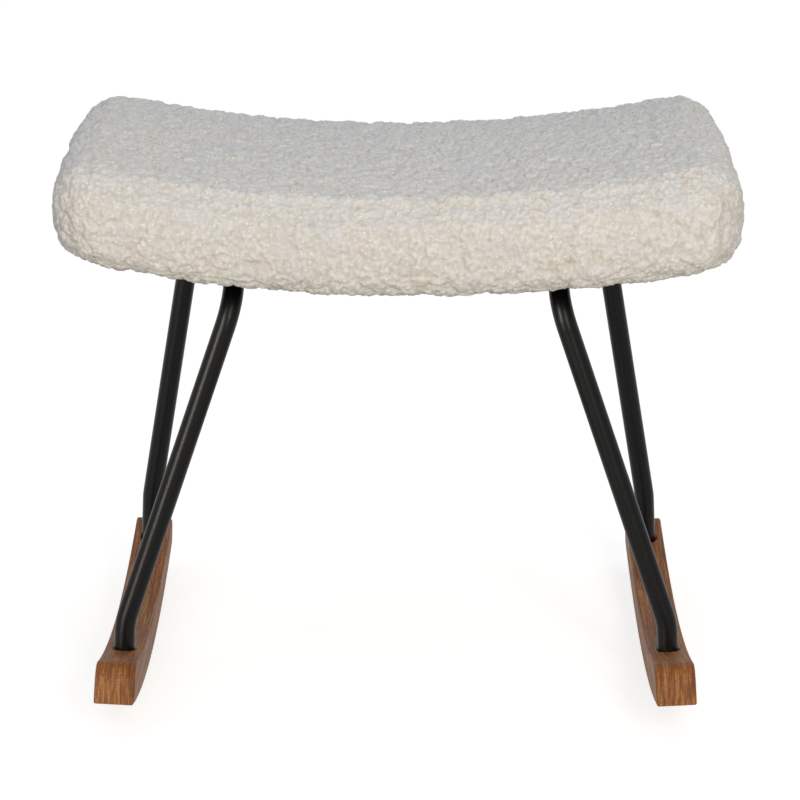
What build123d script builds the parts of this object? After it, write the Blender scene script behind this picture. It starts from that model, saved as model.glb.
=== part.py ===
"""Rocking footstool: a saddle-shaped upholstered seat on two bent tube frames and two oak rockers.

Millimetres, +Z up, front towards -Y. The origin is on the floor, under the middle of the rockers.
The right-hand pieces (+X) are drawn and the left-hand ones mirrored from them.
"""
import os
from math import atan2, ceil, cos, degrees, radians, sin, sqrt, tan

from build123d import *

# Rockers: solid oak, sawn to two arcs, leaning inwards, standing on their inner lower edges
ROCKER_LENGTH = 465.0
ROCKER_WIDTH = 33.5
ROCKER_HEIGHT = 33.5
ROCKER_BOTTOM_RADIUS = 936.0
ROCKER_TOP_RADIUS = 881.0
ROCKER_SPACING = 473.3  # between the rockers' middles, at the floor
ROCKER_LEAN = 3.0  # degrees
ROCKER_EDGE_ROUND = 2.0
ROCKER_NOSE_ROUND = 18.0  # upper edge at each end
CONTACT_Y = 24.5  # where the arc touches the floor, behind the rockers' middle

# Side frames: one round tube each, bent into front leg, seat rail and rear leg
TUBE_DIAMETER = 18.0
TUBE_WALL = 1.5
LEG_SPACING = 304.0  # between the two sockets of one rocker
LEG_SIDE_LEAN = 5.0  # degrees, both legs towards each other
FRONT_STUB = 24.0  # upright stretch from the rocker's top to the lower bend
REAR_STUB = 44.0
FRONT_RAIL_X = 132.5  # half spacing of the rails at the front upper bends
REAR_RAIL_X = 184.5
LOWER_BEND_RADIUS = 60.0
UPPER_BEND_RADIUS = 40.0

# Sockets, and the bolts that hold the tubes from below
SOCKET_DEPTH = 16.0
SOCKET_CLEARANCE = 0.5  # all round the tube
SOCKET_MOUTH_CHAMFER = 1.8
SOCKET_WEB = 9.0  # wood left between socket and counterbore
PLUG_LENGTH = 25.0
PLUG_CLEARANCE = 0.1
THREAD_DIAMETER = 6.0
THREAD_CLEARANCE = 0.1
BOLT_HOLE_CLEARANCE = 0.3
BOLT_HEAD_DIAMETER = 10.0
BOLT_HEAD_HEIGHT = 6.0
BOLT_KEY_SIZE = 5.0  # across the flats of its hexagon socket
BOLT_KEY_DEPTH = 3.0
BOLT_GRIP_IN_PLUG = 20.0
BOLT_WASHER_DIAMETER = 12.0
BOLT_WASHER_THICKNESS = 1.6
COUNTERBORE_CLEARANCE = 1.0

# Seat: every layer is curved about one axis above the seat, parallel to Y
SEAT_LENGTH = 571.0
SEAT_DEPTH = 362.0
SEAT_THICKNESS = 74.0
SEAT_BASE_HEIGHT = 367.0  # lowest line of the upholstery
SADDLE_RADIUS = 1200.0  # of the underside
SEAT_CROWN = 3.0  # middle of the top above its front and rear edges
END_BULGE_RADIUS = 160.0
FACE_BULGE_RADIUS = 220.0
CORNER_RADIUS = 36.0
INNER_CORNER_RADIUS = 6.0  # least that a layer inside the cover is rounded to
TOP_ROLL_RADIUS = 20.0
BOTTOM_ROLL_RADIUS = 14.0

COVER_THICKNESS = 8.0  # backing and curly pile
HEM_THICKNESS = 4.0
HEM_WIDTH = 34.0
TOP_SEAM_DROP = 10.0  # seam of the top panel below the top
END_SEAM_INSET = 16.0  # seam of the end panels from the ends
WADDING_THICKNESS = 4.0
BOARD_THICKNESS = 12.0
BOARD_EDGE_CLEARANCE = 1.5
DUST_COVER_THICKNESS = 0.6
FIT_CLEARANCE = 0.3

# Cross straps: flat steel, bent to the underside, welded on the rails and screwed to the board
STRAP_WIDTH = 30.0
STRAP_THICKNESS = 4.0
STRAP_SPACING = 120.0
STRAP_OVERHANG = 42.0  # beyond the rail
STRAP_CORNER_RADIUS = 8.0
WELD_RADIUS = 2.5
WELD_OFFSET = 5.5  # beside the tube's middle

SEAT_SCREW_LENGTH = 16.0
SEAT_SCREW_HEAD_DIAMETER = 10.5
SEAT_SCREW_HEAD_HEIGHT = 3.3
SEAT_SCREW_HEAD_ROUND = 2.3
SEAT_SCREW_KEY_SIZE = 4.0
SEAT_SCREW_KEY_DEPTH = 2.3
SEAT_SCREW_OFFSET = 24.0  # either side of the rail
SEAT_WASHER_DIAMETER = 13.0
SEAT_WASHER_THICKNESS = 1.2
TEE_NUT_BARREL_DIAMETER = 8.0
TEE_NUT_LENGTH = 9.0
TEE_NUT_FLANGE_DIAMETER = 19.0
TEE_NUT_FLANGE_THICKNESS = 1.5

STAPLE_CROWN = 10.0
STAPLE_WIRE = 1.2
STAPLE_LEG = 9.0
STAPLE_PITCH = 70.0
HEM_STAPLE_INSET = 22.0  # from the seat's outline
DUST_STAPLE_INSET = 6.0  # from the dust cover's edge

TUBE_RADIUS = TUBE_DIAMETER / 2
TUBE_BORE = TUBE_DIAMETER - 2 * TUBE_WALL
SADDLE_AXIS_HEIGHT = SEAT_BASE_HEIGHT + SADDLE_RADIUS
BOARD_LEVEL = HEM_THICKNESS
BOARD_INSET = COVER_THICKNESS + WADDING_THICKNESS
DUST_LEVEL = BOARD_LEVEL - FIT_CLEARANCE - DUST_COVER_THICKNESS
STRAP_LEVEL = DUST_LEVEL - STRAP_THICKNESS
WASHER_LEVEL = STRAP_LEVEL - SEAT_WASHER_THICKNESS
OVERSHOOT = 1.2  # how far the seat's construction shapes run past the seat, as a factor
FRONT, REAR = -1, 1


def rise(radius, offset):
    """Height of an arc of this radius above its lowest point, at a distance from it."""
    return radius - sqrt(radius**2 - offset**2)


# ---- rockers ----


def rocker_end(y):
    """Lower and upper corner of a rocker's end, which is cut square to the lower arc."""
    low = Vector(y, rise(ROCKER_BOTTOM_RADIUS, y - CONTACT_Y))
    inwards = (Vector(CONTACT_Y, ROCKER_BOTTOM_RADIUS) - low).normalized()
    reach = low - Vector(CONTACT_Y, ROCKER_HEIGHT + ROCKER_TOP_RADIUS)
    along = reach.dot(inwards)
    span = -along - sqrt(along**2 - reach.dot(reach) + ROCKER_TOP_RADIUS**2)
    return low, low + inwards * span


def socket_frame(end):
    """Frame at a socket's floor, in the upright rocker, with Z up the tube."""
    y = CONTACT_Y + end * LEG_SPACING / 2
    mouth = Vector(0, y, ROCKER_HEIGHT + rise(ROCKER_TOP_RADIUS, LEG_SPACING / 2))
    axis = Vector(0, -end * sin(radians(LEG_SIDE_LEAN)), cos(radians(LEG_SIDE_LEAN)))
    return Plane(origin=mouth - axis * SOCKET_DEPTH, x_dir=(1, 0, 0), z_dir=axis)


def rocker_place():
    """Where the upright rocker goes: leaning inwards, its inner lower edge on the floor."""
    lean = radians(ROCKER_LEAN)
    lift = (ROCKER_WIDTH / 2 - ROCKER_EDGE_ROUND) * sin(lean) + ROCKER_EDGE_ROUND * (1 - cos(lean))
    return Location((ROCKER_SPACING / 2, 0, lift), (0, -ROCKER_LEAN, 0))


def rod(frame, diameter, start, end):
    """Cylinder along a frame's Z from start to end."""
    return frame * Pos(0, 0, start) * Cylinder(
        diameter / 2, end - start, align=(Align.CENTER, Align.CENTER, Align.MIN)
    )


def make_rocker():
    """Rocker with a socket for each leg and the bolt's counterbore under it."""
    front_low, front_high = rocker_end(-ROCKER_LENGTH / 2)
    rear_low, rear_high = rocker_end(ROCKER_LENGTH / 2)
    outline = make_face(
        [
            ThreePointArc(front_low, (CONTACT_Y, 0), rear_low),
            Line(rear_low, rear_high),
            ThreePointArc(rear_high, (CONTACT_Y, ROCKER_HEIGHT), front_high),
            Line(front_high, front_low),
        ]
    )
    rocker = extrude(Plane.YZ * outline, ROCKER_WIDTH / 2, both=True)
    cross_edges = rocker.edges().filter_by(Axis.X).sort_by(Axis.Y)
    noses = [pair.sort_by(Axis.Z)[-1] for pair in (cross_edges[:2], cross_edges[-2:])]
    rocker = fillet(noses, ROCKER_NOSE_ROUND)
    rocker = fillet(rocker.faces().filter_by(Axis.X).edges(), ROCKER_EDGE_ROUND)
    through = 2 * ROCKER_HEIGHT
    for end in (FRONT, REAR):
        frame = socket_frame(end)
        rocker -= rod(frame, TUBE_DIAMETER + 2 * SOCKET_CLEARANCE, 0, through)
        rocker -= rod(frame, THREAD_DIAMETER + 2 * BOLT_HOLE_CLEARANCE, -through, 0)
        counterbore = BOLT_WASHER_DIAMETER + 2 * COUNTERBORE_CLEARANCE
        rocker -= rod(frame, counterbore, -through, -SOCKET_WEB)
    mouths = rocker.edges().filter_by(lambda edge: edge.is_closed).sort_by(Axis.Z)[-2:]
    rocker = chamfer(mouths, SOCKET_MOUTH_CHAMFER)
    return rocker_place() * rocker


# ---- side frames ----


def layer_height(level, x):
    """Height of a layer's surface, level above the underside, at a distance from the middle."""
    return SEAT_BASE_HEIGHT + level + rise(SADDLE_RADIUS - level, x)


def saddle_slope(x):
    """Angle of the seat's layers at a distance from the middle, in radians."""
    return atan2(x, sqrt(SADDLE_RADIUS**2 - x**2))


def rail_height(x):
    """Middle of a rail that lies just under a cross strap."""
    drop = (TUBE_RADIUS + FIT_CLEARANCE) / cos(saddle_slope(x))
    return layer_height(STRAP_LEVEL, x) - drop


def tube_point(end):
    """Foot, lower bend and upper bend of one leg."""
    frame = socket_frame(end)
    stub = FRONT_STUB if end == FRONT else REAR_STUB
    foot, bend = (
        (rocker_place() * Pos(*(frame.origin + frame.z_dir * up))).position
        for up in (0, SOCKET_DEPTH + stub)
    )
    rail_x = FRONT_RAIL_X if end == FRONT else REAR_RAIL_X
    height = rail_height(rail_x)
    rail_y = bend.Y - end * (height - bend.Z) * tan(radians(LEG_SIDE_LEAN))
    return foot, bend, Vector(rail_x, rail_y, height)


def make_side_frame():
    """The right-hand tube: front leg, seat rail and rear leg in one bent length."""
    points = [*tube_point(FRONT), *reversed(tube_point(REAR))]
    radii = [LOWER_BEND_RADIUS, UPPER_BEND_RADIUS, UPPER_BEND_RADIUS, LOWER_BEND_RADIUS]
    path = FilletPolyline(*points, radius=radii)
    section = Plane(origin=points[0], z_dir=points[1] - points[0])
    ring = Circle(TUBE_RADIUS) - Circle(TUBE_BORE / 2)
    return sweep(section * ring, path=path)


def foot_frames():
    """World frames at the feet of the right-hand tube."""
    return [Plane(rocker_place() * socket_frame(end).location) for end in (FRONT, REAR)]


def key_socket(size, depth):
    """Hexagon socket that goes up from a screw head's face."""
    return extrude(RegularPolygon(size / 2, 6, major_radius=False), depth)


def make_plug(frame):
    plug = rod(frame, TUBE_BORE - 2 * PLUG_CLEARANCE, 0, PLUG_LENGTH)
    return plug - rod(frame, THREAD_DIAMETER + 2 * THREAD_CLEARANCE, 0, PLUG_LENGTH)


def make_bolt_washer(frame):
    washer = rod(frame, BOLT_WASHER_DIAMETER, -SOCKET_WEB - BOLT_WASHER_THICKNESS, -SOCKET_WEB)
    hole = THREAD_DIAMETER + 2 * BOLT_HOLE_CLEARANCE
    return washer - rod(frame, hole, -SOCKET_WEB - BOLT_WASHER_THICKNESS, -SOCKET_WEB)


def make_bolt(frame):
    seat = -SOCKET_WEB - BOLT_WASHER_THICKNESS
    bolt = rod(frame, THREAD_DIAMETER, seat, BOLT_GRIP_IN_PLUG)
    bolt += rod(frame, BOLT_HEAD_DIAMETER, seat - BOLT_HEAD_HEIGHT, seat)
    return bolt - frame * Pos(0, 0, seat - BOLT_HEAD_HEIGHT) * key_socket(BOLT_KEY_SIZE, BOLT_KEY_DEPTH)


# ---- seat ----


def saddle_cylinder(level):
    """Everything above the curved surface that lies level above the underside."""
    return Pos(0, CONTACT_Y, SADDLE_AXIS_HEIGHT) * Cylinder(
        SADDLE_RADIUS - level, 2 * SEAT_DEPTH, rotation=(90, 0, 0)
    )


def layer(outline, low, high):
    """Sheet between two levels, cut to a plan outline drawn about the seat's middle."""
    column = extrude(Pos(0, CONTACT_Y, 0) * outline, SADDLE_AXIS_HEIGHT)
    return column & (saddle_cylinder(low) - saddle_cylinder(high))


def plan_outline(inset):
    """Rounded rectangle inside the seat's outline."""
    radius = max(CORNER_RADIUS - inset, INNER_CORNER_RADIUS)
    return RectangleRounded(SEAT_LENGTH - 2 * inset, SEAT_DEPTH - 2 * inset, radius)


def cushion_form(inset, low):
    """Crowned saddle with bulging sides, inset from the seat's outer form, above a level."""
    high = SEAT_THICKNESS - inset
    half = SEAT_DEPTH / 2 - inset
    face_radius = FACE_BULGE_RADIUS - inset
    middle = SEAT_THICKNESS / 2
    lower_half = half - rise(face_radius, middle - low)
    upper_half = half - rise(face_radius, high - SEAT_CROWN - middle)
    profile = make_face(
        [
            Line((-lower_half, low), (lower_half, low)),
            ThreePointArc((lower_half, low), (half, middle), (upper_half, high - SEAT_CROWN)),
            ThreePointArc((upper_half, high - SEAT_CROWN), (0, high), (-upper_half, high - SEAT_CROWN)),
            ThreePointArc((-upper_half, high - SEAT_CROWN), (-half, middle), (-lower_half, low)),
        ]
    )
    axis = Axis((0, CONTACT_Y, SADDLE_AXIS_HEIGHT), (0, 1, 0))
    sweep_angle = 2 * OVERSHOOT * degrees(saddle_slope(SEAT_LENGTH / 2))
    section = Plane.YZ * Pos(CONTACT_Y, SEAT_BASE_HEIGHT) * profile
    band = revolve(section.rotate(axis, sweep_angle / 2), axis, -sweep_angle)

    end = SEAT_LENGTH / 2 - inset
    end_radius = END_BULGE_RADIUS - inset
    end_height = layer_height(middle, end)
    reach = OVERSHOOT * SEAT_THICKNESS
    low_z, high_z = end_height - reach, end_height + reach
    corner = end - rise(end_radius, reach)
    mask = make_face(
        [
            Line((-corner, low_z), (corner, low_z)),
            ThreePointArc((corner, low_z), (end, end_height), (corner, high_z)),
            Line((corner, high_z), (-corner, high_z)),
            ThreePointArc((-corner, high_z), (-end, end_height), (-corner, low_z)),
        ]
    )
    form = band & extrude(Plane.XZ * mask, SEAT_DEPTH, both=True)
    at_ends = form.edges().filter_by(lambda edge: abs(edge.center().X) > end / 2)
    uprights = at_ends.filter_by(lambda edge: edge.length < 2 * reach)
    form = fillet(uprights, CORNER_RADIUS - inset)
    form = fillet(broad_faces(form)[-1].edges(), TOP_ROLL_RADIUS - inset)
    if inset == 0:
        form = fillet(broad_faces(form)[0].edges(), BOTTOM_ROLL_RADIUS)
    return form


def broad_faces(form):
    """Underside and top of a cushion form."""
    return form.faces().sort_by(lambda face: face.area)[-2:].sort_by(Axis.Z)


def end_region():
    """Column over the right-hand end panel: square at the corner seams, mitred under the seat."""
    seam_x = SEAT_LENGTH / 2 - END_SEAM_INSET
    seam_y = SEAT_DEPTH / 2 - END_SEAM_INSET
    corners = [
        (SEAT_LENGTH, SEAT_DEPTH),
        (seam_x, SEAT_DEPTH),
        (seam_x, seam_y),
        (seam_x - HEM_WIDTH, seam_y - HEM_WIDTH),
    ]
    rear_corners = [(x, -y) for x, y in reversed(corners)]
    outline = make_face(Polyline(*corners, *rear_corners, close=True))
    return extrude(Pos(0, CONTACT_Y) * outline, SADDLE_AXIS_HEIGHT)


def make_cover(outer, cavity, staples):
    """The cover's five panels, each border panel with its turned-in hem."""
    cover = outer - cavity
    cover -= layer(plan_outline(HEM_WIDTH), -FIT_CLEARANCE, HEM_THICKNESS + FIT_CLEARANCE)
    above = saddle_cylinder(SEAT_THICKNESS - SEAT_CROWN / 2 - TOP_SEAM_DROP)
    border = cover - above
    right_region = end_region()
    left_region = mirror(right_region, about=Plane.YZ)
    front, rear = (border - right_region - left_region).solids().sort_by(Axis.Y)
    return {
        "cover_top_panel": cover & above,
        "cover_front_panel": front - staples,
        "cover_rear_panel": rear - staples,
        "cover_left_panel": (border & left_region) - staples,
        "cover_right_panel": (border & right_region) - staples,
    }


def seat_frame(x, y, level):
    """Frame on one of the seat's curved layers, with Z square to it."""
    slope = degrees(saddle_slope(x))
    height = layer_height(level, x)
    return Plane(Location((x, y, height), (0, -slope, 0)))


def rail_crossing(end):
    """Middle of the right-hand rail under one strap, and the rail's direction."""
    front, rear = tube_point(FRONT)[2], tube_point(REAR)[2]
    direction = (rear - front).normalized()
    strap_y = CONTACT_Y + end * STRAP_SPACING / 2
    return front + direction * ((strap_y - front.Y) / direction.Y), direction


def screw_spots(end):
    """Right-hand and left-hand screw places on one strap."""
    middle, _ = rail_crossing(end)
    right = [middle.X + side * SEAT_SCREW_OFFSET for side in (-1, 1)]
    return [(sign * x, middle.Y) for sign in (1, -1) for x in right]


def make_strap(end, screw_frames):
    middle, _ = rail_crossing(end)
    length = 2 * (middle.X + STRAP_OVERHANG)
    outline = Pos(0, end * STRAP_SPACING / 2) * RectangleRounded(length, STRAP_WIDTH, STRAP_CORNER_RADIUS)
    strap = layer(outline, STRAP_LEVEL, DUST_LEVEL)
    return strap - screw_holes(screw_frames)


def screw_holes(frames):
    """Clearance holes through everything that the seat screws pass."""
    hole, reach = THREAD_DIAMETER + 2 * BOLT_HOLE_CLEARANCE, BOARD_THICKNESS
    return [rod(frame, hole, -reach, reach) for frame in frames]


def make_welds(straps):
    """Beads along both sides of the rail where it meets each strap."""
    beads = []
    half = STRAP_WIDTH / 2 - WELD_RADIUS
    height = TUBE_RADIUS + FIT_CLEARANCE - WELD_RADIUS / 2
    for end in (FRONT, REAR):
        middle, direction = rail_crossing(end)
        up = seat_frame(middle.X, middle.Y, STRAP_LEVEL).z_dir
        across = direction.cross(up)
        rail = rod(Plane(origin=middle, z_dir=direction), TUBE_DIAMETER, -STRAP_WIDTH, STRAP_WIDTH)
        for side in (-1, 1):
            start = middle + across * side * WELD_OFFSET + up * height
            bead = rod(Plane(origin=start, z_dir=direction), 2 * WELD_RADIUS, -half, half)
            beads.append(bead - rail - straps)
    return beads


def make_seat_screw(frame):
    """Button-head screw under its washer; the frame lies on the board's underside."""
    seat = WASHER_LEVEL - BOARD_LEVEL
    crown = seat - SEAT_SCREW_HEAD_HEIGHT
    head = Cylinder(SEAT_SCREW_HEAD_DIAMETER / 2, SEAT_SCREW_HEAD_HEIGHT)
    lower_rim = head.edges().filter_by(GeomType.CIRCLE).sort_by(Axis.Z)[0]
    head = fillet(lower_rim, SEAT_SCREW_HEAD_ROUND)
    key = key_socket(SEAT_SCREW_KEY_SIZE, SEAT_SCREW_KEY_DEPTH)
    screw = rod(frame, THREAD_DIAMETER, seat, seat + SEAT_SCREW_LENGTH)
    screw += frame * Pos(0, 0, seat - SEAT_SCREW_HEAD_HEIGHT / 2) * head
    return screw - frame * Pos(0, 0, crown) * key


def make_seat_washer(frame):
    low, high = WASHER_LEVEL - BOARD_LEVEL, STRAP_LEVEL - BOARD_LEVEL
    washer = rod(frame, SEAT_WASHER_DIAMETER, low, high)
    return washer - rod(frame, THREAD_DIAMETER + 2 * BOLT_HOLE_CLEARANCE, low, high)


def make_tee_nut(frame):
    """Flanged nut let into the board's top."""
    top = BOARD_THICKNESS
    shoulder = top - TEE_NUT_FLANGE_THICKNESS
    nut = rod(frame, TEE_NUT_FLANGE_DIAMETER, shoulder, top)
    nut += rod(frame, TEE_NUT_BARREL_DIAMETER, top - TEE_NUT_LENGTH, shoulder)
    return nut - rod(frame, THREAD_DIAMETER + 2 * THREAD_CLEARANCE, 0, top)


def tee_nut_pocket(frame):
    shoulder = BOARD_THICKNESS - TEE_NUT_FLANGE_THICKNESS
    pocket = rod(frame, TEE_NUT_FLANGE_DIAMETER + 2 * FIT_CLEARANCE, shoulder, 2 * BOARD_THICKNESS)
    return pocket + rod(frame, TEE_NUT_BARREL_DIAMETER + 2 * THREAD_CLEARANCE, -BOARD_THICKNESS, shoulder)


def make_board(screw_frames, staples):
    drawn_in = rise(END_BULGE_RADIUS - BOARD_INSET, SEAT_THICKNESS / 2 - BOARD_LEVEL)
    outline = plan_outline(BOARD_INSET + drawn_in + BOARD_EDGE_CLEARANCE)
    board = layer(outline, BOARD_LEVEL, BOARD_LEVEL + BOARD_THICKNESS)
    return board - [tee_nut_pocket(frame) for frame in screw_frames] - staples


def make_dust_cover(screw_frames, staples):
    sheet = layer(plan_outline(HEM_WIDTH + FIT_CLEARANCE), DUST_LEVEL, DUST_LEVEL + DUST_COVER_THICKNESS)
    return sheet - screw_holes(screw_frames) - staples


def make_staple(frame, turn):
    """Staple driven up into the board, its crown along X, or along Y when turned."""
    crown = Pos(0, 0, -STAPLE_WIRE / 2) * Box(STAPLE_CROWN, STAPLE_WIRE, STAPLE_WIRE)
    leg = Box(STAPLE_WIRE, STAPLE_WIRE, STAPLE_LEG)
    leg_x = (STAPLE_CROWN - STAPLE_WIRE) / 2
    legs = [Pos(x, 0, STAPLE_LEG / 2) * leg for x in (-leg_x, leg_x)]
    return frame * Rot(0, 0, turn) * (crown + legs)


def staple_row(inset, level):
    """Staples round the underside, inset from the seat's outline."""
    half_x, half_y = SEAT_LENGTH / 2 - inset, SEAT_DEPTH / 2 - inset
    staples = []
    for reach, side, turn in ((half_x, half_y, 0), (half_y, half_x, 90)):
        span = 2 * (reach - CORNER_RADIUS)
        count = ceil(span / STAPLE_PITCH)
        for step in range(count + 1):
            along = step * span / count - span / 2
            for sign in (-1, 1):
                x, y = (along, sign * side) if turn == 0 else (sign * side, along)
                staples.append(make_staple(seat_frame(x, CONTACT_Y + y, level), turn))
    return staples


def both_sides(pieces):
    """Right-hand pieces and their mirror images as one group of solids."""
    return Compound([solid for piece in pieces for solid in (*piece.solids(), *mirrored(piece).solids())])


def group(pieces):
    return Compound([solid for piece in pieces for solid in piece.solids()])


def mirrored(piece):
    return mirror(piece, about=Plane.YZ)


def build():
    """Every node of the footstool by name."""
    rocker, side_frame = make_rocker(), make_side_frame()
    feet = foot_frames()
    screw_frames = [seat_frame(x, y, BOARD_LEVEL) for end in (FRONT, REAR) for x, y in screw_spots(end)]
    straps = {end: make_strap(end, screw_frames) for end in (FRONT, REAR)}
    hem_staples = staple_row(HEM_STAPLE_INSET, 0)
    dust_staples = staple_row(HEM_WIDTH + DUST_STAPLE_INSET, DUST_LEVEL)
    outer = cushion_form(0, 0)
    cavity = cushion_form(COVER_THICKNESS, BOARD_LEVEL)
    core = cushion_form(BOARD_INSET, BOARD_LEVEL)
    return {
        "rocker_right": rocker,
        "rocker_left": mirrored(rocker),
        "side_frame_right": side_frame,
        "side_frame_left": mirrored(side_frame),
        "tube_plugs": both_sides([make_plug(frame) for frame in feet]),
        "rocker_bolts": both_sides([make_bolt(frame) for frame in feet]),
        "rocker_bolt_washers": both_sides([make_bolt_washer(frame) for frame in feet]),
        "front_cross_strap": straps[FRONT],
        "rear_cross_strap": straps[REAR],
        "strap_welds": both_sides(make_welds(list(straps.values()))),
        "seat_screws": group([make_seat_screw(frame) for frame in screw_frames]),
        "seat_screw_washers": group([make_seat_washer(frame) for frame in screw_frames]),
        "tee_nuts": group([make_tee_nut(frame) for frame in screw_frames]),
        "seat_board": make_board(screw_frames, hem_staples + dust_staples),
        "seat_foam": core & saddle_cylinder(BOARD_LEVEL + BOARD_THICKNESS + FIT_CLEARANCE),
        "seat_wadding": cavity - core,
        "dust_cover": make_dust_cover(screw_frames, dust_staples),
        "hem_staples": group(hem_staples),
        "dust_cover_staples": group(dust_staples),
        **make_cover(outer, cavity, hem_staples),
    }


if __name__ == "__main__":
    os.makedirs("parts", exist_ok=True)
    for name, shape in build().items():
        export_step(shape, f"parts/{name}.step")
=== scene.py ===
"""Rocking footstool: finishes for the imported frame, and its padded seat, modelled and simulated.

Metres throughout, in the frame's own axes: +Z up, front towards -Y, floor at Z = 0. A name that ends in _mm
is in millimetres.
"""
import logging
from dataclasses import dataclass
from enum import Enum
from math import exp, pi
from typing import Any, Callable, Protocol

import bmesh
import bpy
import numpy as np
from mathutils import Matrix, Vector, noise


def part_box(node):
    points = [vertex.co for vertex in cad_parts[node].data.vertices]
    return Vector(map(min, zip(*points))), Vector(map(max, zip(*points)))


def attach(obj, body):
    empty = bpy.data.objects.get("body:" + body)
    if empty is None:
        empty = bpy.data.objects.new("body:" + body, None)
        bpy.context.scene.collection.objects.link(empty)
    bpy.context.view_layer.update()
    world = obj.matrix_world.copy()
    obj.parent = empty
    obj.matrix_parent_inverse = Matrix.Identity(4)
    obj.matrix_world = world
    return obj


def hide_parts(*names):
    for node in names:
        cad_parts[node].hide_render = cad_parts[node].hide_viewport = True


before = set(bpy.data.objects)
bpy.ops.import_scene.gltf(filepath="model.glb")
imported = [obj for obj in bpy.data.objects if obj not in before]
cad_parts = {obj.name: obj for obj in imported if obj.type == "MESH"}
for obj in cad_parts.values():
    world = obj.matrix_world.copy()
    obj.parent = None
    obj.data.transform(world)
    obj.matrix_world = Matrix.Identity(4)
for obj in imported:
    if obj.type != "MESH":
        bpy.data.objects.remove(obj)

log = logging.getLogger("footstool")

MM = 0.001
ROOT_BODY = "root"
SADDLE_RADIUS = 1.2  # of the seat's underside, seen from the front
STEEP = 0.5  # a face is steep where its normal rises less than this
SAME_PLACE_DIGITS = 6  # decimals to which two corners of a mesh are compared
WHITE = "FFFFFF"

Tree = bpy.types.NodeTree
Socket = bpy.types.NodeSocket
Number = float | np.ndarray
Triple = tuple[float, float, float]


# ---- small helpers ----


def linear(code: str) -> tuple[float, float, float, float]:
    """Turn an sRGB hex colour into the linear one that a shader takes, by the standard's own curve.

    Args:
        code: six hex digits, red, green and blue.

    Returns:
        Linear red, green, blue and an alpha of 1.
    """
    channels = [int(code[i : i + 2], 16) / 255 for i in (0, 2, 4)]
    return (*[c / 12.92 if c <= 0.04045 else ((c + 0.055) / 1.055) ** 2.4 for c in channels], 1.0)


def rise(radius: Number, offset: Number) -> Number:
    """Height of an arc above its lowest point, at a distance from it."""
    return radius - np.sqrt(radius**2 - offset**2)


def ease(share: Number) -> Number:
    """Turn a straight climb from 0 to 1 into one that starts and ends softly."""
    return share * share * (3 - 2 * share)


def set_inputs(tree: Tree, node: bpy.types.Node, inputs: dict[Any, Any]) -> None:
    """Give a node's sockets their values or links.

    Args:
        tree: the node's tree.
        node: the node.
        inputs: socket name or number, to a value or to the output socket that feeds it.
    """
    for name, value in inputs.items():
        if isinstance(value, Socket):
            tree.links.new(value, node.inputs[name])
        else:
            node.inputs[name].default_value = value


def add_node(
    tree: Tree, kind: str, inputs: dict[Any, Any] | None = None,
    stops: tuple[tuple[float, str], ...] = (), **settings: Any,
) -> bpy.types.Node:
    """Add one shader node with its settings and links.

    Args:
        tree: the material's or world's node tree.
        kind: the node's Blender type.
        inputs: socket name or number, to a value or to the output socket that feeds it.
        stops: on a colour ramp, each stop's place from 0 to 1 and its hex colour.
        settings: the node's own properties.

    Returns:
        The new node.
    """
    node = tree.nodes.new(kind)
    for name, value in settings.items():
        setattr(node, name, value)
    set_inputs(tree, node, inputs or {})
    for index, (place, code) in enumerate(stops):
        elements = node.color_ramp.elements
        element = elements[index] if index < len(elements) else elements.new(place)
        element.position = place
        element.color = linear(code)
    return node


def new_material(name: str) -> tuple[bpy.types.Material, Tree, bpy.types.Node]:
    """Make an empty node material.

    Args:
        name: the material's name.

    Returns:
        The material, its tree and its Principled shader, joined to the output.
    """
    material = bpy.data.materials.new(name)
    material.use_nodes = True
    tree = material.node_tree
    tree.nodes.clear()
    shader = add_node(tree, "ShaderNodeBsdfPrincipled")
    add_node(tree, "ShaderNodeOutputMaterial", {"Surface": shader.outputs["BSDF"]})
    return material, tree, shader


def pattern_coordinates(tree: Tree, step_mm: Triple) -> Socket:
    """Object coordinates, counted in steps of a pattern.

    Args:
        tree: the node tree.
        step_mm: size of one step along each axis.

    Returns:
        The vector socket.
    """
    place = add_node(tree, "ShaderNodeTexCoord")
    steps = tuple(1 / (size * MM) for size in step_mm)
    mapping = add_node(tree, "ShaderNodeMapping", {"Vector": place.outputs["Object"], "Scale": steps})
    return mapping.outputs["Vector"]


def make_piece(
    name: str, mesh: bmesh.types.BMesh, material: bpy.types.Material,
) -> bpy.types.Object:
    """Turn a bmesh into a finished, smooth-shaded piece that rides on the stool.

    Args:
        name: the piece's name.
        mesh: the shape, freed afterwards.
        material: its finish.

    Returns:
        The object, at the origin.
    """
    data = bpy.data.meshes.new(name)
    mesh.to_mesh(data)
    mesh.free()
    data.shade_smooth()
    data.materials.append(material)
    piece = bpy.data.objects.new(name, data)
    bpy.context.scene.collection.objects.link(piece)
    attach(piece, ROOT_BODY)
    return piece


# ---- finishes ----


class Finish(Protocol):
    """What every finish offers."""

    def build(self) -> bpy.types.Material:
        """Make the material."""


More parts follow.
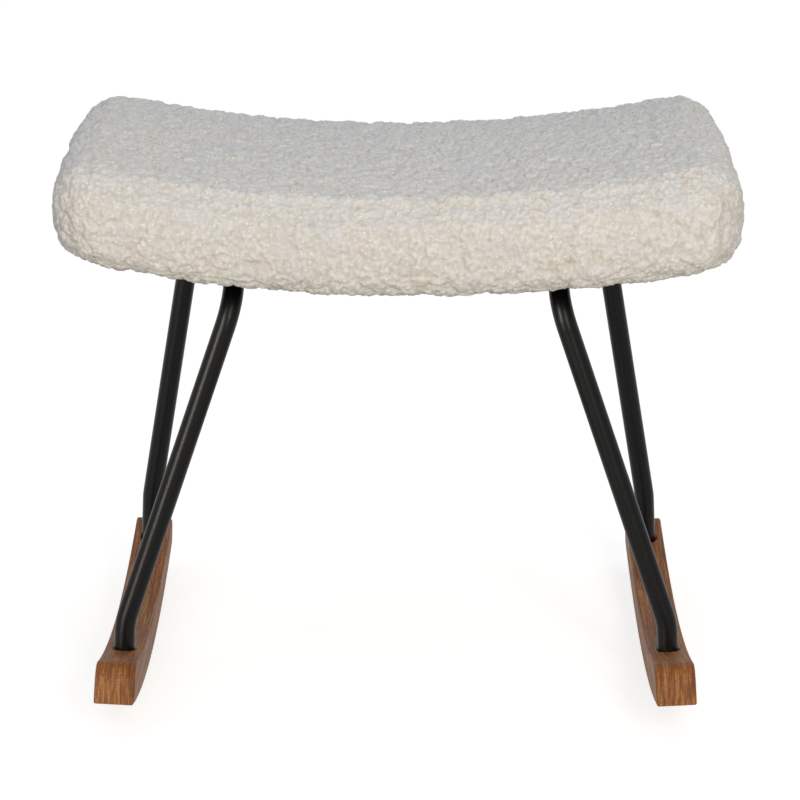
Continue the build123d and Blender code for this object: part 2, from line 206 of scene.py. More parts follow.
@dataclass(frozen=True)
class Patches:
    """Soft patches of one colour that lie here and there over another."""

    colour: str
    size_mm: float
    begins: float  # the noise value at a patch's edge
    full: float  # and the one from which the patch is full
    cover: float  # how much a full patch hides of what is under it
    detail: float = 2.0

    def lay_over(self, tree: Tree, under: Socket) -> Socket:
        """Lay the patches over a colour.

        Args:
            tree: the node tree.
            under: the colour's socket.

        Returns:
            The socket of both together.
        """
        field = add_node(
            tree, "ShaderNodeTexNoise",
            {"Vector": pattern_coordinates(tree, (self.size_mm,) * 3), "Scale": 1.0, "Detail": self.detail},
        )
        factor = add_node(
            tree, "ShaderNodeMapRange",
            {
                "Value": field.outputs["Fac"], "From Min": self.begins, "From Max": self.full,
                "To Max": self.cover,
            },
            interpolation_type="SMOOTHSTEP",
        )
        mix = add_node(
            tree, "ShaderNodeMix",
            {"Factor": factor.outputs["Result"], 6: under, 7: linear(self.colour)}, data_type="RGBA",
        )
        return mix.outputs[2]


@dataclass(frozen=True)
class CurlyPile:
    """Sherpa: curled polyester pile on a knitted back. Cream tufts with warm tan depths between them, partly
    the backing's colour and partly painted shade, and painted glints on the fibre ends.
    """

    name: str = "curly_pile_fabric"
    # painted shade: from tip to crevice the colours darken and warm, partly the backing's own warm colour and
    # partly shade painted into the depths
    crevice_shade: str = "C9BCA6"
    hollow_shade: str = "D3CBBF"
    tuft: str = "DAD6CE"
    tip: str = "E8E6E1"
    hollow_shade_at: float = 0.12  # the share of the pile's depth, from its foot, at which this colour stands
    tuft_at: float = 0.45
    cool_drift: Patches = Patches("D6D7D6", 24.0, 0.42, 0.62, 0.4)
    thin_places: Patches = Patches("CDBFA9", 6.5, 0.6, 0.76, 0.6)  # where the warm backing shows
    fibre_glints: Patches = Patches("F4F4F2", 1.7, 0.63, 0.72, 1.0, detail=1.0)  # painted glints: bright specks where fibre ends catch the light, drawn coarser than they are
    fibre_mm: float = 0.9  # real fibres are finer and wouldn't show
    fibre_detail: float = 3.0
    fibre_curl: float = 1.2
    relief_mm: float = 0.16
    relief_strength: float = 0.9
    roughness: float = 0.95
    specular: float = 0.2
    scatter: float = 0.3
    scatter_mm: float = 3.5  # light wanders this far through the loose fibres, which softens every shade
    scatter_tint: Triple = (1.0, 0.9, 0.75)
    sheen: float = 0.15
    sheen_roughness: float = 0.5

    def build(self) -> bpy.types.Material:
        """Make the pile: its colour follows how deep a point lies in the pile, as painted shade in its depths
        and painted glints on its fibre ends.

        Returns:
            The material.
        """
        material, tree, shader = new_material(self.name)
        depth = add_node(tree, "ShaderNodeAttribute", attribute_name="pile")
        cream = add_node(
            tree, "ShaderNodeValToRGB", {"Fac": depth.outputs["Fac"]},
            stops=(
                (0.0, self.crevice_shade), (self.hollow_shade_at, self.hollow_shade),
                (self.tuft_at, self.tuft), (1.0, self.tip),
            ),
        )
        colour = cream.outputs["Color"]
        # patches of random tone, then the painted glints of the fibre ends
        for patches in (self.cool_drift, self.thin_places, self.fibre_glints):
            colour = patches.lay_over(tree, colour)
        fibres = add_node(
            tree, "ShaderNodeTexNoise",
            {
                "Vector": pattern_coordinates(tree, (self.fibre_mm,) * 3), "Scale": 1.0,
                "Detail": self.fibre_detail, "Distortion": self.fibre_curl,
            },
        )
        bump = add_node(
            tree, "ShaderNodeBump",
            {
                "Height": fibres.outputs["Fac"], "Distance": self.relief_mm * MM,
                "Strength": self.relief_strength,
            },
        )
        set_inputs(tree, shader, {
            "Base Color": colour, "Normal": bump.outputs["Normal"],
            "Roughness": self.roughness, "Specular IOR Level": self.specular,
            "Subsurface Weight": self.scatter, "Subsurface Radius": self.scatter_tint,
            "Subsurface Scale": self.scatter_mm * MM,
            "Sheen Weight": self.sheen, "Sheen Roughness": self.sheen_roughness,
        })
        return material


@dataclass(frozen=True)
class OiledOak:
    """Solid oak, sawn, sanded and oiled: straight grain with darker pores, warm orange brown."""

    name: str = "oiled_oak"
    early: str = "B07A44"
    middle: str = "92592A"
    late: str = "6C3F1C"
    late_at: float = 0.36  # the noise value at which each wood colour stands
    middle_at: float = 0.5
    early_at: float = 0.64
    ring_mm: float = 1.9
    ring_run_mm: float = 90.0  # a ring runs on this far along the piece
    ring_rise: float = 9.0  # and this many times its own width up the piece
    ring_detail: float = 3.0
    ring_fineness: float = 0.6
    ring_waver: float = 0.35
    pore: str = "5A3417"
    pore_mm: float = 0.55  # real pores are 0.3 mm wide; drawn wider to show
    pore_run: float = 22.0  # a pore's length and height, in its own widths
    pore_rise: float = 1.5
    pore_detail: float = 2.0
    pore_full: float = 0.36
    pore_begins: float = 0.46
    pore_depth_mm: float = 0.1
    pore_strength: float = 0.4
    roughness: float = 0.55
    specular: float = 0.2

    def build(self) -> bpy.types.Material:
        """Make the oak: grain runs along the rocker, and the rings stand upright in its end grain.

        Returns:
            The material.
        """
        material, tree, shader = new_material(self.name)
        ring_step = (self.ring_mm, self.ring_run_mm, self.ring_rise * self.ring_mm)
        rings = add_node(
            tree, "ShaderNodeTexNoise",
            {
                "Vector": pattern_coordinates(tree, ring_step), "Scale": 1.0, "Detail": self.ring_detail,
                "Roughness": self.ring_fineness, "Distortion": self.ring_waver,
            },
        )
        wood = add_node(
            tree, "ShaderNodeValToRGB", {"Fac": rings.outputs["Fac"]},
            stops=((self.late_at, self.late), (self.middle_at, self.middle), (self.early_at, self.early)),
        )
        pore_step = (self.pore_mm, self.pore_run * self.pore_mm, self.pore_rise * self.pore_mm)
        pores = add_node(
            tree, "ShaderNodeTexNoise",
            {"Vector": pattern_coordinates(tree, pore_step), "Scale": 1.0, "Detail": self.pore_detail},
        )
        open_pore = add_node(
            tree, "ShaderNodeMapRange",
            {
                "Value": pores.outputs["Fac"], "From Min": self.pore_full, "From Max": self.pore_begins,
                "To Min": 1.0, "To Max": 0.0,
            },
        )
        colour = add_node(
            tree, "ShaderNodeMix",
            {"Factor": open_pore.outputs["Result"], 6: wood.outputs["Color"], 7: linear(self.pore)},
            data_type="RGBA",
        )
        bump = add_node(
            tree, "ShaderNodeBump",
            {
                "Height": open_pore.outputs["Result"], "Distance": self.pore_depth_mm * MM,
                "Strength": self.pore_strength,
            },
            invert=True,
        )
        set_inputs(tree, shader, {
            "Base Color": colour.outputs[2], "Normal": bump.outputs["Normal"],
            "Roughness": self.roughness, "Specular IOR Level": self.specular,
        })
        return material


@dataclass(frozen=True)
class Mottled:
    """A surface that wanders between two close shades, with or without a fine relief in the same pattern."""

    name: str
    dark: str
    light: str
    cell_mm: Triple
    dark_at: float = 0.3  # the noise value at which each shade stands
    light_at: float = 0.7
    detail: float = 3.0
    fineness: float = 0.5
    relief_mm: float = 0.0
    relief_strength: float = 0.5
    roughness: float = 0.6
    specular: float = 0.5
    metallic: float = 0.0

    def build(self) -> bpy.types.Material:
        """Make the material from one noise pattern.

        Returns:
            The material.
        """
        material, tree, shader = new_material(self.name)
        cells = add_node(
            tree, "ShaderNodeTexNoise",
            {
                "Vector": pattern_coordinates(tree, self.cell_mm), "Scale": 1.0,
                "Detail": self.detail, "Roughness": self.fineness,
            },
        )
        shade = add_node(
            tree, "ShaderNodeValToRGB", {"Fac": cells.outputs["Fac"]},
            stops=((self.dark_at, self.dark), (self.light_at, self.light)),
        )
        set_inputs(tree, shader, {
            "Base Color": shade.outputs["Color"], "Roughness": self.roughness,
            "Specular IOR Level": self.specular, "Metallic": self.metallic,
        })
        if self.relief_mm:
            bump = add_node(
                tree, "ShaderNodeBump",
                {
                    "Height": cells.outputs["Fac"], "Distance": self.relief_mm * MM,
                    "Strength": self.relief_strength,
                },
            )
            set_inputs(tree, shader, {"Normal": bump.outputs["Normal"]})
        return material


@dataclass(frozen=True)
class PowderCoat(Mottled):
    """Black polyester powder coat on steel: satin, with a faint orange peel that softens its gleam."""

    name: str = "black_powder_coat"
    dark: str = "060505"
    light: str = "0B0A0A"
    cell_mm: Triple = (1.6, 1.6, 1.6)
    detail: float = 2.0
    relief_mm: float = 0.01
    roughness: float = 0.34
    specular: float = 0.15


@dataclass(frozen=True)
class ZincPlate(Mottled):
    """Bright zinc plating on steel fasteners: a cool grey metal with fine drawn marks."""

    name: str = "zinc_plated_steel"
    dark: str = "9A9A98"
    light: str = "BDBDBB"
    cell_mm: Triple = (0.8, 0.8, 0.8)
    roughness: float = 0.35
    metallic: float = 1.0


@dataclass(frozen=True)
class Plywood(Mottled):
    """Rotary-cut beech plywood: pale brown, with long soft flecks along the board."""

    name: str = "beech_plywood"
    dark: str = "B98F66"
    light: str = "D2AE84"
    cell_mm: Triple = (40.0, 2.0, 2.0)


@dataclass(frozen=True)
class Fibrous(Mottled):
    """Cloth or foam without a weave: pressed fibres or cells that show as a fine matte mottle."""

    dark_at: float = 0.35
    light_at: float = 0.65
    detail: float = 4.0
    fineness: float = 0.7
    relief_strength: float = 0.7
    roughness: float = 0.9
    specular: float = 0.2


# Open-celled foam, cut with a saw: a dull yellow with fine pits.
FOAM = Fibrous("upholstery_foam", "DCCB92", "EBDDAE", (1.5, 1.5, 1.5), relief_mm=0.4)
# Carded and bonded polyester fibre: white and downy.
WADDING = Fibrous("polyester_wadding", "E4E4E2", "F4F4F2", (3.0, 3.0, 3.0), relief_mm=1.0)
# Spun-bonded polypropylene: flat black with a faint grain of pressed fibres.
NONWOVEN = Fibrous("black_nonwoven", "0E0E0E", "1C1C1C", (0.8, 0.8, 0.8), relief_mm=0.1)


# ---- the hard pieces, which the frame brings in ----


@dataclass
class CarriedOver:
    """CAD pieces whose shape is right, and the finish that each group of them gets."""

    finish: Finish
    nodes: tuple[str, ...]

    def dress(self) -> None:
        """Give every node of the group its finish."""
        material = self.finish.build()
        for node in self.nodes:
            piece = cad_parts[node]
            piece.data.materials.clear()
            piece.data.materials.append(material)
            log.info("dressed %s with %s", node, material.name)


# ---- the padded seat ----


class Panel(Enum):
    """Panels of the cover, by the CAD node that each one stands for."""

    TOP = "cover_top_panel"
    FRONT = "cover_front_panel"
    REAR = "cover_rear_panel"
    LEFT = "cover_left_panel"
    RIGHT = "cover_right_panel"


@dataclass(frozen=True)
class Curls:
    """Relief of the curly pile: rounded clumps of curls on slow billows, with creases between them."""

    clump_mm: float = 11.0
    clump_height_mm: float = 2.0
    clump_radius: float = 0.75  # of a clump's dome, in its size
    curl_mm: float = 4.0
    curl_height_mm: float = 1.3
    curl_radius: float = 0.7
    billow_mm: float = 26.0
    billow_height_mm: float = 1.5
    bend_mm: float = 7.0  # clumps are bent out of round over this distance
    bend_reach_mm: float = 2.5
    fray_mm: float = 2.6  # and frayed over this one
    fray_reach_mm: float = 0.9
    seed: int = 1  # of the bending; with 0 it would come from the clock and differ in every run
    curl_bend: float = 0.8  # the share of the bending that the curls take part in
    level: float = 0.5  # a dome's mean height, which moves no face
    curl_share: float = 0.7  # how much of the colour's depth, which sets the painted crevice shade, comes from the curls
    pulled_share: float = 0.4  # and how much a seam takes away, painting shade along it
    opening_mm: float = 9.0  # crevices open, and take their painted shade, only here and there, this far apart
    opening_level: float = 0.5
    opening_reach: float = 0.9
    closed_depth: float = 0.3  # elsewhere the pile closes over at this depth, which stops the painted shade

    def dome(self, place: Vector, radius: float) -> float:
        """Height of the nearest of many scattered domes."""
        near, _ = noise.voronoi(place)
        return 1 - (near[0] / radius) ** 2

    def relief(self, place: Vector, pulled: float) -> tuple[float, float]:
        """Work out the pile at one point of the cover.

        Args:
            place: the point, in millimetres.
            pulled: 1 where stitches pull the pile down, and 0 away from them.

        Returns:
            Its height in millimetres, and its depth, 0 in a crease and 1 on a tip, which sets the painted
            shade.
        """
        warp = noise.noise_vector(place / self.bend_mm) * self.bend_reach_mm
        warp = warp + noise.noise_vector(place / self.fray_mm) * self.fray_reach_mm
        clump = self.dome((place + warp) / self.clump_mm, self.clump_radius)
        curl = self.dome((place + warp * self.curl_bend) / self.curl_mm, self.curl_radius)
        billow = noise.noise(place / self.billow_mm)
        height = (clump - self.level) * self.clump_height_mm + (curl - self.level) * self.curl_height_mm
        height += billow * self.billow_height_mm
        closed = self.opening_level + self.opening_reach * noise.noise(place / self.opening_mm)
        tuft = (1 - self.curl_share) * clump + self.curl_share * curl - self.pulled_share * pulled
        depth = max(tuft, min(max(closed, 0.0), self.closed_depth))
        return height, min(depth, 1.0)


@dataclass
class SeatCover:
    """The padded seat: a saddle form, swelled by its filling, with its curly pile."""

    material: bpy.types.Material
    curls: Curls = Curls()
    slot: str = "curly_pile_fabric"
    # The block that the padding is cut from.
    thickness: float = 0.0775
    proud: float = 0.0025  # the pile's middle stands this far outside the cover's backing
    end_tuck: float = 0.004  # the cover is pulled tighter over the ends
    corner_radius: float = 0.037
    top_roll: float = 0.029
    bottom_roll: float = 0.018
    roll_segments: int = 6
    # Its shape once it is filled and bent.
    crown: float = 0.010
    loft: float = 0.0050  # the filling stands this much higher in the middle than at the ends
    end_bulge_radius: float = 0.160
    face_bulge_radius: float = 0.220
    end_bow: float = 0.0035  # the ends bow out between their corners
    end_bow_power: int = 4  # the higher, the nearer to the ends the bow stays
    droop: float = 0.0025  # the border's lower edge hangs this much below the board
    droop_full: float = 0.25  # up to this share of the thickness
    droop_gone: float = 0.75  # and not at all above this one
    hang: float = 0.007  # at the baggier right-hand end it hangs this much more
    hang_start: float = 0.03
    hang_out: float = 0.004  # and stands out this much further
    hang_out_reach: float = 1.1  # up to this share of the thickness
    roll_reach: float = 0.018  # from the outline to the lowest line of the border
    # The simulation.
    voxel: float = 0.004
    pressure: float = 4.0
    swell_cap: float = 0.003
    sink_cap: float = 0.001
    sim_frames: int = 20
    refine_levels: int = 2
    # The sewing.
    seam_inset: float = 0.016
    seam_drop: float = 0.010
    seam_width: float = 0.0035  # the stitches pull the pile down this far to each side
    seam_depth_mm: float = 0.8
    allowance: float = 0.004  # turned in along every seam and hem
    hem_width: float = 0.034

    def __post_init__(self) -> None:
        """Read the seat's place and size from the frame."""
        corners = [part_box(panel.value) for panel in Panel]
        low = np.min([low for low, _ in corners], axis=0)
        high = np.max([high for _, high in corners], axis=0)
        self.base = float(low[2])
        self.middle_y = float(low[1] + high[1]) / 2
        self.length = float(high[0] - low[0])
        self.depth = float(high[1] - low[1])
        log.info("seat %.3f x %.3f x %.3f m", self.length, self.depth, self.thickness)

    def underside(self, x: float) -> float:
        """Height of the seat's underside at a distance from its middle."""
        return self.base + rise(SADDLE_RADIUS, x)

    def blank(self) -> bmesh.types.BMesh:
        """Cut the padding's form: a straight rounded block, standing on Z = 0.

        Returns:
            The closed form, slightly smaller than the finished seat.
        """
        form = bmesh.new()
        bmesh.ops.create_cube(form, size=1.0)
        size = Vector((self.length, self.depth, self.thickness - self.crown)) + self.proud * Vector((2, 2, 1))
        size.x -= 2 * self.end_tuck
        bmesh.ops.scale(form, vec=size, verts=form.verts)
        bmesh.ops.translate(form, vec=(0, 0, size.z / 2), verts=form.verts)
        rims: tuple[tuple[float, Callable[[bmesh.types.BMEdge], bool]], ...] = (
            (self.corner_radius, lambda edge: abs(edge.verts[0].co.z - edge.verts[1].co.z) > size.z / 2),
            (self.top_roll, lambda edge: self.is_rim(edge, size.z)),
            (self.bottom_roll, lambda edge: self.is_rim(edge, 0)),
        )
        for radius, chosen in rims:
            form.normal_update()
            edges = [edge for edge in form.edges if chosen(edge)]
            bmesh.ops.bevel(
                form, geom=edges, offset=radius, offset_type="OFFSET", segments=self.roll_segments,
                profile=0.5, affect="EDGES", material=-1,
            )
        bmesh.ops.recalc_face_normals(form, faces=form.faces)
        return form

    def is_rim(self, edge: bmesh.types.BMEdge, level: float) -> bool:
        """Whether an edge lies round the block's flat face at this level."""
        flat = all(abs(vert.co.z - level) < MM for vert in edge.verts)
        return flat and any(abs(face.normal.z) < STEEP for face in edge.link_faces)

    def shape(self, points: np.ndarray) -> np.ndarray:
        """Bulge the block's sides, crown its top and bend it to the saddle.

        Args:
            points: the straight block's vertices.

        Returns:
            Where they go in the finished seat.
        """
        x, y, level = points.T
        half_x, half_y = self.length / 2, self.depth / 2
        off_middle = level - self.thickness / 2
        x = x * (1 - rise(self.end_bulge_radius, off_middle) / half_x)
        y = y * (1 - rise(self.face_bulge_radius, off_middle) / half_y)
        near_end = np.clip(np.abs(x) / half_x, 0, 1) ** self.end_bow_power
        x = x + np.sign(x) * self.end_bow * near_end * (1 - (y / half_y) ** 2)
        fullness = self.crown * (1 - (y / half_y) ** 2) + self.loft * (1 - (x / half_x) ** 2)
        level = level + fullness * level / self.thickness
        baggy = ease(np.clip((x - self.hang_start) / (half_x - self.hang_start), 0, 1))
        fade = self.droop_gone - self.droop_full
        low_down = np.clip((self.droop_gone - level / self.thickness) / fade, 0, 1)
        inside = np.minimum(half_x - np.abs(x), half_y - np.abs(y))
        near_edge = np.clip((self.hem_width - inside) / (self.hem_width - self.roll_reach), 0, 1)
        level = level - (self.droop + self.hang * baggy) * low_down * near_edge
        x = x + self.hang_out * baggy * np.clip(self.hang_out_reach - level / self.thickness, 0, 1)
        height = self.base + level + rise(SADDLE_RADIUS - level, x)
        return np.stack([x, y + self.middle_y, height], axis=1)

    def swell(self, form: bmesh.types.BMesh) -> bpy.types.Object:
        """Remesh the blank, shape it and let the filling push it out, as a cloth under pressure.

        Args:
            form: the blank.

        Returns:
            The swelled form, with no modifier left on it.
        """
        seat = make_piece("seat_form", form, self.material)
        remesh = seat.modifiers.new("Remesh", "REMESH")
        remesh.mode = "VOXEL"
        remesh.voxel_size = self.voxel
        remesh.use_smooth_shade = True
        self.apply_modifiers(seat)
        straight = self.read_points(seat)
        rest = self.shape(straight)
        log.info("padding of %d points", len(rest))
        self.write_points(seat, rest)
        pinned = seat.vertex_groups.new(name="on_board")
        pinned.add([int(i) for i in np.flatnonzero(straight[:, 2] < self.voxel)], 1.0, "REPLACE")
        cloth = seat.modifiers.new("Cloth", "CLOTH")
        cloth.settings.vertex_group_mass = pinned.name
        cloth.settings.use_pressure = True
        cloth.settings.uniform_pressure_force = self.pressure
        cloth.settings.effector_weights.gravity = 0.0
        cloth.point_cache.frame_start = 1
        cloth.point_cache.frame_end = self.sim_frames
        scene = bpy.context.scene
        for step in range(1, self.sim_frames + 1):
            scene.frame_set(step)
        swelled = seat.evaluated_get(bpy.context.evaluated_depsgraph_get())
        moved = self.read_points(swelled) - rest
        seat.modifiers.clear()
        seat.vertex_groups.clear()
        scene.frame_set(1)
        normals = np.empty(len(rest) * 3)
        seat.data.vertices.foreach_get("normal", normals)
        normals = normals.reshape(-1, 3)
        push = (moved * normals).sum(axis=1, keepdims=True)
        self.write_points(seat, rest + normals * np.clip(push, -self.sink_cap, self.swell_cap))
        log.info("free of its cap, the filling would push the cover out by %.1f mm", float(push.max()) / MM)
        return seat

    def apply_modifiers(self, piece: bpy.types.Object) -> None:
        """Bake a piece's live modifiers into its mesh.

        Args:
            piece: the piece, whose old mesh is removed.
        """
        graph = bpy.context.evaluated_depsgraph_get()
        old = piece.data
        piece.data = bpy.data.meshes.new_from_object(piece.evaluated_get(graph))
        bpy.data.meshes.remove(old)
        piece.modifiers.clear()

    def read_points(self, piece: bpy.types.Object) -> np.ndarray:
        """Read the piece's vertices.

        Args:
            piece: the piece.

        Returns:
            A row of x, y and z for each.
        """
        points = np.empty(len(piece.data.vertices) * 3)
        piece.data.vertices.foreach_get("co", points)
        return points.reshape(-1, 3)

    def write_points(self, piece: bpy.types.Object, points: np.ndarray) -> None:
        """Put the piece's vertices where the rows say."""
        piece.data.vertices.foreach_set("co", points.ravel())
        piece.data.update()

    def refine(self, seat: bpy.types.Object) -> None:
        """Divide the swelled form finely enough to carry the pile.

        Args:
            seat: the form, changed in place.
        """
        smooth = seat.modifiers.new("Smooth", "SUBSURF")
        smooth.levels = self.refine_levels
        smooth.render_levels = self.refine_levels
        self.apply_modifiers(seat)

    def pile(self, seat: bpy.types.Object) -> None:
        """Raise the curly pile and pull it down along the corner seams.

        Args:
            seat: the fine form, changed in place. Its pile attribute is 0 in a crease and 1 on a tip, and
                sets the painted shade in the creases.
        """
        noise.seed_set(self.curls.seed)
        mesh = seat.data
        depth = np.empty(len(mesh.vertices), dtype=np.float32)
        moved = self.read_points(seat)
        for index, vert in enumerate(mesh.vertices):
            pulled = exp(-((self.seam_gap(vert.co) / self.seam_width) ** 2))
            height, depth[index] = self.curls.relief(vert.co / MM, pulled)
            height -= pulled * self.seam_depth_mm
            moved[index] += np.array(vert.normal) * (height * MM)
        self.write_points(seat, moved)
        attribute = mesh.attributes.new("pile", "FLOAT", "POINT")
        attribute.data.foreach_set("value", depth)

    def seam_gap(self, point: Vector) -> float:
        """Measure along the cover from a point to the nearest upright corner seam.

        Args:
            point: a point of the cover.

        Returns:
            The distance, or the seams' own inset where none is near.
        """
        across = abs(point.y - self.middle_y) - (self.depth / 2 - self.seam_inset)
        if across < 0:
            return self.seam_inset
        return abs(abs(point.x) - (self.length / 2 - self.seam_inset))

    def panel_of(self, centre: Vector) -> Panel:
        """Tell which panel a face of the cover belongs to.

        Args:
            centre: the face's middle.

        Returns:
            The panel.
        """
        level = centre.z - self.underside(centre.x)
        if level > self.thickness - self.crown / 2 - self.seam_drop:
            return Panel.TOP
        seam_x, seam_y = self.length / 2 - self.seam_inset, self.depth / 2 - self.seam_inset
        along, across = abs(centre.x) - seam_x, abs(centre.y - self.middle_y) - seam_y
        if along > 0 or (across < 0 and along > across):
            return Panel.RIGHT if centre.x > 0 else Panel.LEFT
        return Panel.FRONT if centre.y < self.middle_y else Panel.REAR

    def over_board(self, centre: Vector) -> bool:
        """Tell whether a face lies under the board, inside the hem, where there is no cover.

        Args:
            centre: the face's middle.

        Returns:
            True inside the hem.
        """
        level = centre.z - self.underside(centre.x)
        inside_x = abs(centre.x) < self.length / 2 - self.hem_width
        inside_y = abs(centre.y - self.middle_y) < self.depth / 2 - self.hem_width
        return level < self.bottom_roll and inside_x and inside_y

    def cut_panels(self, seat: bpy.types.Object) -> list[bpy.types.Object]:
        """Split the cover at its seams into the panels it is sewn from.

        Args:
            seat: the finished form, removed afterwards.

        Returns:
            The panels.
        """
        centres = [face.center for face in seat.data.polygons]
        owners = [None if self.over_board(centre) else self.panel_of(centre) for centre in centres]
        panels = []
        for panel in Panel:
            mesh = bmesh.new()
            mesh.from_mesh(seat.data)
            mesh.faces.ensure_lookup_table()
            others = [face for face, owner in zip(mesh.faces, owners) if owner is not panel]
            bmesh.ops.delete(mesh, geom=others, context="FACES")
            self.turn_in(mesh)
            piece = make_piece(panel.value.replace("panel", "pile"), mesh, self.material)
            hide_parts(panel.value)
            panels.append(piece)
            log.info("%s: %d faces", piece.name, len(piece.data.polygons))
        bpy.data.objects.remove(seat)
        return panels

    def turn_in(self, mesh: bmesh.types.BMesh) -> None:
        """Fold a seam allowance inwards along a panel's cut edges.

        Args:
            mesh: the panel, changed in place.
        """
        mesh.normal_update()
        rim = [edge for edge in mesh.edges if edge.is_boundary]
        for edge in rim:
            edge.smooth = False
        rim_verts = {vert for edge in rim for vert in edge.verts}
        inwards = {vert.co.to_tuple(SAME_PLACE_DIGITS): -vert.normal for vert in rim_verts}
        grown = bmesh.ops.extrude_edge_only(mesh, edges=rim)["geom"]
        for vert in grown:
            if isinstance(vert, bmesh.types.BMVert):
                vert.co += inwards[vert.co.to_tuple(SAME_PLACE_DIGITS)] * self.allowance

    def build(self) -> list[bpy.types.Object]:
        """Make the whole cover.

        Returns:
            Its panels.
        """
        seat = self.swell(self.blank())
        self.refine(seat)
        self.pile(seat)
        return self.cut_panels(seat)


# ---- the sheet under the board ----


@dataclass
class DustCover:
    """Black non-woven sheet, stapled round its cut edge and held up by the two straps."""

    material: bpy.types.Material
    node: str = "dust_cover"
    straps: tuple[str, ...] = ("front_cross_strap", "rear_cross_strap")
    slot: str = "black_nonwoven"
    cell: float = 0.005
    corner_radius: float = 0.006
    cloth: float = 0.0005
    sag: float = 0.0016  # of the free cloth, where neither strap nor edge holds it
    sag_reach: float = 0.040
    crease_mm: float = 30.0
    crease_stretch: float = 3.0  # creases run along the seat, this many times longer than wide
    crease: float = 0.0004

    def __post_init__(self) -> None:
        """Read the sheet's place and what holds it from the frame."""
        low, high = (Vector(corner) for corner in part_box(self.node))
        self.centre = (low + high) / 2
        self.half = (high - low) / 2
        self.level = low.z
        self.held = [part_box(strap) for strap in self.straps]

    def build(self) -> bpy.types.Object:
        """Cut, hang and thicken the sheet.

        Returns:
            The sheet.
        """
        sheet = bmesh.new()
        across, along = (round(2 * side / self.cell) for side in self.half.xy)
        bmesh.ops.create_grid(sheet, x_segments=across, y_segments=along, size=1.0)
        bmesh.ops.scale(sheet, vec=(self.half.x, self.half.y, 1.0), verts=sheet.verts)
        for vert in sheet.verts:
            vert.co = self.hang(self.round_corner(vert.co))
        piece = make_piece("dust_cover_sheet", sheet, self.material)
        thick = piece.modifiers.new("Cloth", "SOLIDIFY")
        thick.thickness = self.cloth
        thick.offset = 1.0
        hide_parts(self.node)
        return piece

    def round_corner(self, point: Vector) -> Vector:
        """Pull a point of the flat sheet back inside its rounded corners.

        Args:
            point: the point, from the sheet's middle.

        Returns:
            The same point, or one on the corner's arc.
        """
        core = self.half.xy - Vector((self.corner_radius, self.corner_radius))
        past = Vector((max(abs(point.x) - core.x, 0), max(abs(point.y) - core.y, 0)))
        if min(past) > 0 and past.length > self.corner_radius:
            reach = core + past.normalized() * self.corner_radius
            point = Vector((np.copysign(reach.x, point.x), np.copysign(reach.y, point.y), 0))
        return point

    def hang(self, point: Vector) -> Vector:
        """Bend a point of the flat sheet to the saddle and let it sag where it is free.

        Args:
            point: the point, from the sheet's middle.

        Returns:
            Its place under the seat.
        """
        x, y = point.x, self.centre.y + point.y
        gaps = [self.half.x - abs(point.x), self.half.y - abs(point.y)]
        for low, high in self.held:
            gaps.append(max(low[1] - y, y - high[1], abs(x) - high[0], 0))
        free = ease(min(min(gaps) / self.sag_reach, 1.0))
        creases = noise.noise(Vector((x / self.crease_stretch, y, 0)) / (self.crease_mm * MM)) * self.crease
        height = self.level + rise(SADDLE_RADIUS, x) - free * (self.sag + creases)
        return Vector((x, y, height))


# ---- studio ----


@dataclass(frozen=True)
class SoftBox:
    """One upright rectangular lamp that faces the stool."""

    name: str
    place: Triple
    power: float  # in watts
    width: float
    height: float
    lights_matte: bool = True  # or it only shows as a gleam on what is glossy
    tint: str = "FFF6EA"
    aim: Triple = (0.0, 0.0, 0.3)

    def build(self) -> None:
        """Hang the lamp."""
        data = bpy.data.lights.new(self.name, "AREA")
        data.shape = "RECTANGLE"
        data.energy = self.power
        data.size = self.width
        data.size_y = self.height
        data.color = linear(self.tint)[:3]
        lamp = bpy.data.objects.new(self.name, data)
        lamp.location = self.place
        lamp.visible_diffuse = self.lights_matte
        way = Vector(self.aim) - Vector(self.place)
        lamp.rotation_euler = way.to_track_quat("-Z", "Y").to_euler()
        bpy.context.scene.collection.objects.link(lamp)


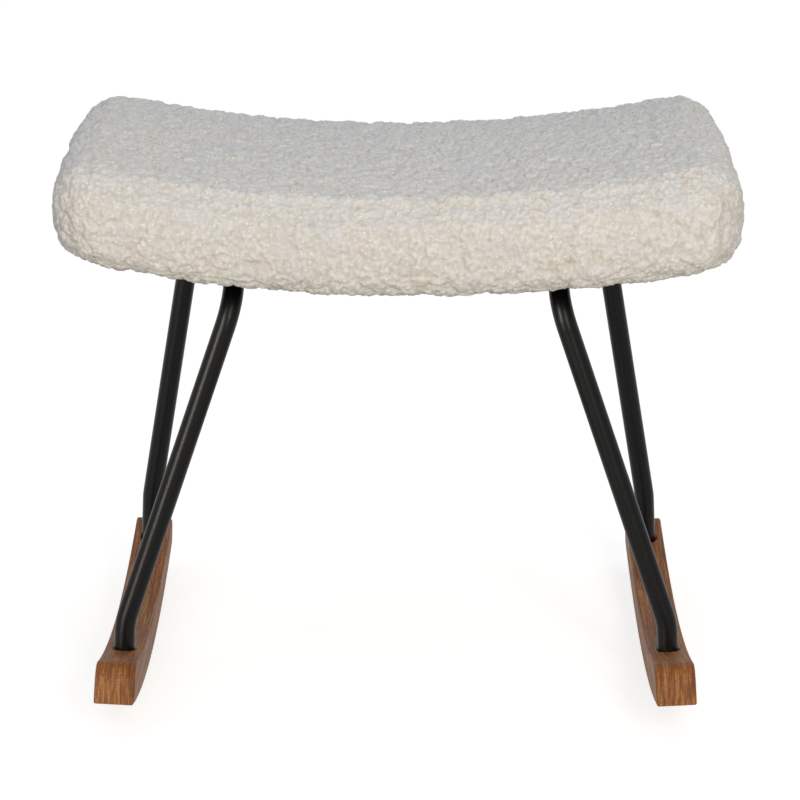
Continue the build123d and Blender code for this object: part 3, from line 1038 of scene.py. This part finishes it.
@dataclass(frozen=True)
class Studio:
    """Pale floor, soft frontal light and the camera at the photograph's angle."""

    camera_place: Triple = (0.0205, -2.8755, 1.0677)
    pitch_down: float = 0.2822
    turn: float = 0.0062
    focal_px: float = 3392.3
    frame_px: float = 800.0
    sensor_mm: float = 36.0
    floor_size: float = 30.0
    ambient: float = 0.71
    side_dim: float = 0.8  # the sides of the room are darker than its front and ceiling
    zenith_tint: str = "E2EDFF"
    zenith_from: float = 0.9  # height on the unit sphere from which the zenith's tint is full
    horizon_tint: str = "FFFBF4"
    floor_tint: str = "BEBAB3"
    floor_glow: float = 0.76
    lamps: tuple[SoftBox, ...] = (
        SoftBox("right_box", (0.95, -3.1, 1.4), 51.0, 0.6, 1.6),
        SoftBox("left_box", (-1.75, -2.0, 1.0), 8.0, 0.2, 1.7),
        SoftBox("left_strip", (-1.9, -2.4, 0.6), 120.0, 0.75, 2.2, lights_matte=False),
    )

    def camera(self) -> None:
        """Place the camera."""
        data = bpy.data.cameras.new("camera")
        data.sensor_width = self.sensor_mm
        data.lens = self.focal_px / self.frame_px * self.sensor_mm
        camera = bpy.data.objects.new("camera", data)
        camera.location = self.camera_place
        camera.rotation_euler = (pi / 2 - self.pitch_down, 0, self.turn)
        bpy.context.scene.collection.objects.link(camera)
        bpy.context.scene.camera = camera

    def seen(self, tree: Tree) -> Socket:
        """Tell rays that show the background, straight or in a reflection, from rays that light.

        Args:
            tree: the node tree.

        Returns:
            The socket of a factor that is 1 on the rays that show it.
        """
        path = add_node(tree, "ShaderNodeLightPath")
        either = add_node(
            tree, "ShaderNodeMath",
            {0: path.outputs["Is Camera Ray"], 1: path.outputs["Is Glossy Ray"]}, operation="MAXIMUM",
        )
        every = add_node(
            tree, "ShaderNodeMath",
            {0: either.outputs[0], 1: path.outputs["Is Transmission Ray"]}, operation="MAXIMUM",
        )
        return every.outputs[0]

    def world(self) -> None:
        """Give soft light from all round, and a white background."""
        world = bpy.data.worlds.new("studio")
        bpy.context.scene.world = world
        world.use_nodes = True
        tree = world.node_tree
        tree.nodes.clear()
        way = add_node(tree, "ShaderNodeTexCoord")
        split = add_node(tree, "ShaderNodeSeparateXYZ", {"Vector": way.outputs["Generated"]})
        tint = add_node(
            tree, "ShaderNodeValToRGB", {"Fac": split.outputs["Z"]},
            stops=((0.0, self.horizon_tint), (self.zenith_from, self.zenith_tint)),
        )
        sideways = add_node(
            tree, "ShaderNodeMath", {0: split.outputs["X"], 1: split.outputs["X"]}, operation="MULTIPLY",
        )
        strength = add_node(
            tree, "ShaderNodeMapRange",
            {
                "Value": sideways.outputs[0], "To Min": self.ambient,
                "To Max": self.ambient * (1 - self.side_dim),
            },
        )
        soft = add_node(
            tree, "ShaderNodeBackground",
            {"Color": tint.outputs["Color"], "Strength": strength.outputs["Result"]},
        )
        white = add_node(tree, "ShaderNodeBackground", {"Color": linear(WHITE), "Strength": 1.0})
        mix = add_node(
            tree, "ShaderNodeMixShader", {0: self.seen(tree), 1: soft.outputs[0], 2: white.outputs[0]},
        )
        add_node(tree, "ShaderNodeOutputWorld", {"Surface": mix.outputs[0]})

    def floor(self) -> None:
        """Lay a wide pale floor that stays white to the camera and keeps the stool's shadow."""
        grid = bmesh.new()
        bmesh.ops.create_grid(grid, x_segments=1, y_segments=1, size=self.floor_size / 2)
        data = bpy.data.meshes.new("floor")
        grid.to_mesh(data)
        grid.free()
        floor = bpy.data.objects.new("floor", data)
        bpy.context.scene.collection.objects.link(floor)
        material = bpy.data.materials.new("pale_floor")
        material.use_nodes = True
        tree = material.node_tree
        tree.nodes.clear()
        matte = add_node(tree, "ShaderNodeBsdfDiffuse", {"Color": linear(self.floor_tint)})
        glow = add_node(tree, "ShaderNodeEmission", {"Color": linear(WHITE), "Strength": self.floor_glow})
        both = add_node(tree, "ShaderNodeAddShader", {0: matte.outputs[0], 1: glow.outputs[0]})
        mix = add_node(
            tree, "ShaderNodeMixShader", {0: self.seen(tree), 1: matte.outputs[0], 2: both.outputs[0]},
        )
        add_node(tree, "ShaderNodeOutputMaterial", {"Surface": mix.outputs[0]})
        data.materials.append(material)

    def build(self) -> None:
        """Set up the whole studio."""
        bpy.context.scene.view_settings.view_transform = "Standard"
        self.camera()
        self.world()
        self.floor()
        for lamp in self.lamps:
            lamp.build()
        log.info("studio is set")


def main() -> None:
    """Build the stool and its studio."""
    logging.basicConfig(level=logging.INFO, format="%(name)s: %(message)s")
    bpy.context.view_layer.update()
    Studio().build()
    groups = (
        CarriedOver(OiledOak(), ("rocker_left", "rocker_right")),
        CarriedOver(
            PowderCoat(),
            ("side_frame_left", "side_frame_right", "front_cross_strap", "rear_cross_strap", "strap_welds"),
        ),
        CarriedOver(
            ZincPlate(),
            (
                "tube_plugs", "rocker_bolts", "rocker_bolt_washers", "seat_screws", "seat_screw_washers",
                "tee_nuts", "hem_staples", "dust_cover_staples",
            ),
        ),
        CarriedOver(Plywood(), ("seat_board",)),
        CarriedOver(FOAM, ("seat_foam",)),
        CarriedOver(WADDING, ("seat_wadding",)),
    )
    for group in groups:
        group.dress()
    SeatCover(CurlyPile().build()).build()
    DustCover(NONWOVEN.build()).build()


if __name__ == "__main__":
    main()
